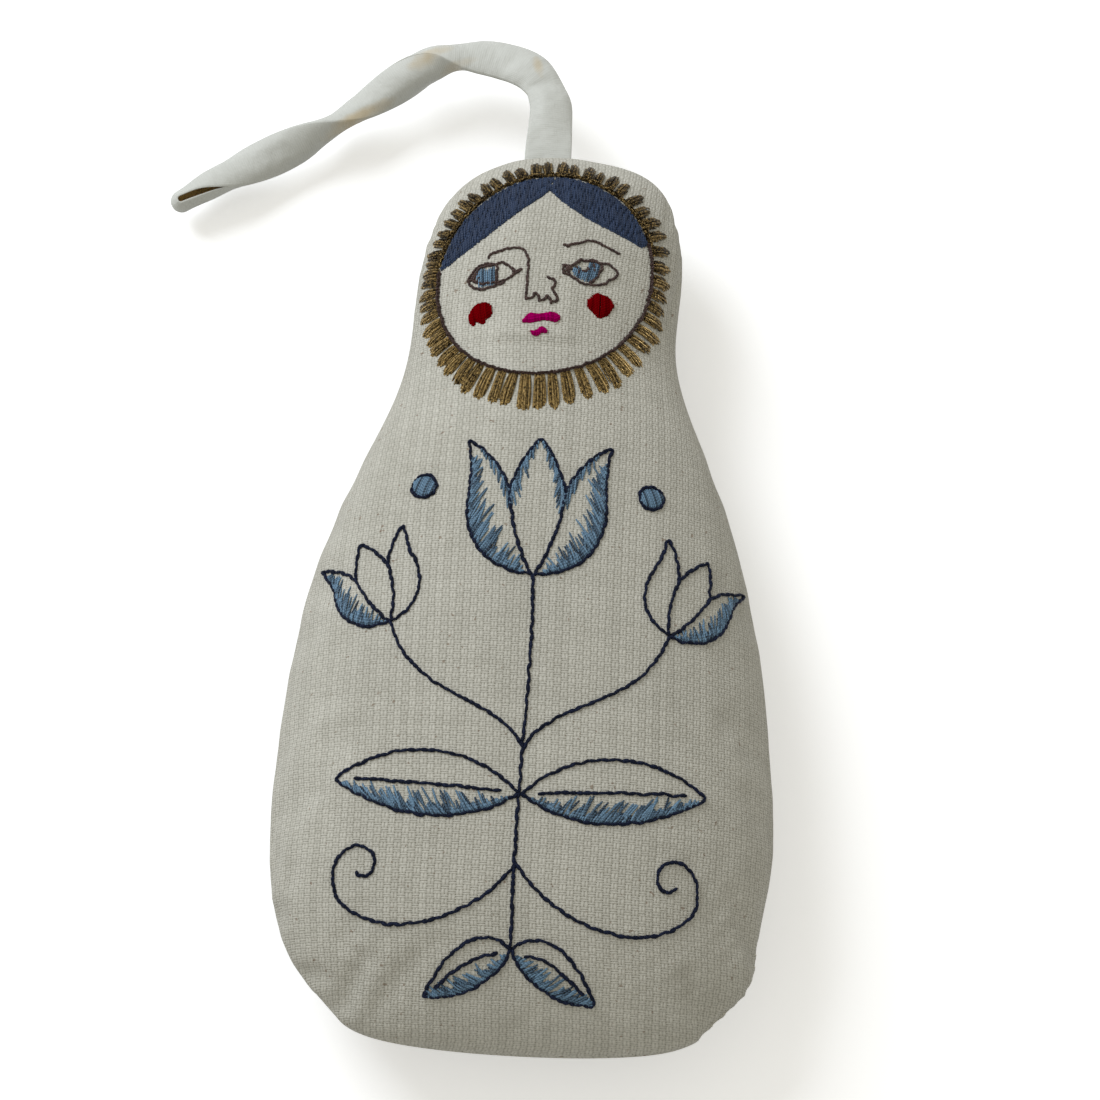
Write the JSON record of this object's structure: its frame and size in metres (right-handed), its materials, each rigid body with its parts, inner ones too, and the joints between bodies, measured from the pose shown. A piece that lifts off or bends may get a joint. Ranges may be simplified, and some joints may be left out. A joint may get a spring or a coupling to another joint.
{
  "type": "stuffed cloth doll ornament",
  "caption": "Flat stuffed canvas doll in a nesting doll outline, with an embroidered face, fringe and flower spray on the front and a doubled ribbon loop sewn into the top seam.",
  "frame": {"origin": "middle of the doll's box on the surface that it lies on, measured without the hanging ribbon", "axes": "+X to the viewer's right, +Y from the base to the top of the head, +Z out of the embroidered front"},
  "size_m": [0.116, 0.1872, 0.0326],
  "materials": {
    "canvas": "natural unbleached canvas with small seed flecks, matt",
    "filling": "white fibre filling",
    "backing": "white non-woven sheet",
    "sewing_thread": "undyed sewing thread",
    "ribbon": "off-white smooth ribbon with a soft sheen",
    "hair_thread": "dark navy embroidery thread in rows of fill stitches",
    "brown_thread": "thin dark brown embroidery thread",
    "gold_thread": "dull gold metallic thread",
    "red_thread": "red thread in satin stitch",
    "pink_thread": "magenta thread in satin stitch",
    "outline_thread": "dark navy embroidery thread in a triple line stitch",
    "blue_thread": "steel blue embroidery thread in open fill stitches"
  },
  "bodies": {
    "doll": {"front_panel": "canvas", "back_panel": "canvas", "body_filling": "filling", "head_filling": "filling", "embroidery_backing": "backing", "seam_thread_right": "sewing_thread", "seam_thread_left": "sewing_thread", "closing_thread": "sewing_thread", "ribbon_ends": "ribbon", "hair_left": "hair_thread", "hair_right": "hair_thread", "face_outline": "brown_thread", "left_brow_and_nose": "brown_thread", "right_brow": "brown_thread", "left_eye_outline": "brown_thread", "right_eye_outline": "brown_thread", "gold_fringe": "gold_thread", "left_cheek": "red_thread", "right_cheek": "red_thread", "upper_lip": "pink_thread", "lower_lip": "pink_thread", "main_flower_outline": "outline_thread", "left_flower_outline": "outline_thread", "right_flower_outline": "outline_thread", "flower_stems": "outline_thread", "left_upper_leaf_outline": "outline_thread", "right_upper_leaf_outline": "outline_thread", "left_lower_leaf_outline": "outline_thread", "right_lower_leaf_outline": "outline_thread", "left_iris": "blue_thread", "right_iris": "blue_thread", "main_flower_shading_left": "blue_thread", "main_flower_shading_right": "blue_thread", "left_flower_shading": "blue_thread", "right_flower_shading": "blue_thread", "left_upper_leaf_shading": "blue_thread", "right_upper_leaf_shading": "blue_thread", "left_lower_leaf_shading": "blue_thread", "right_lower_leaf_shading": "blue_thread", "left_berry": "blue_thread", "right_berry": "blue_thread"},
    "loop": {"hanging_ribbon": "ribbon"}
  },
  "joints": [
    {"name": "loop_swing", "type": "hinge", "parent": "doll", "child": "loop", "pos_m": [-0.0024, 0.0828, 0.01565], "axis": [1, 0, 0], "range_deg": [0, 115]}
  ]
}
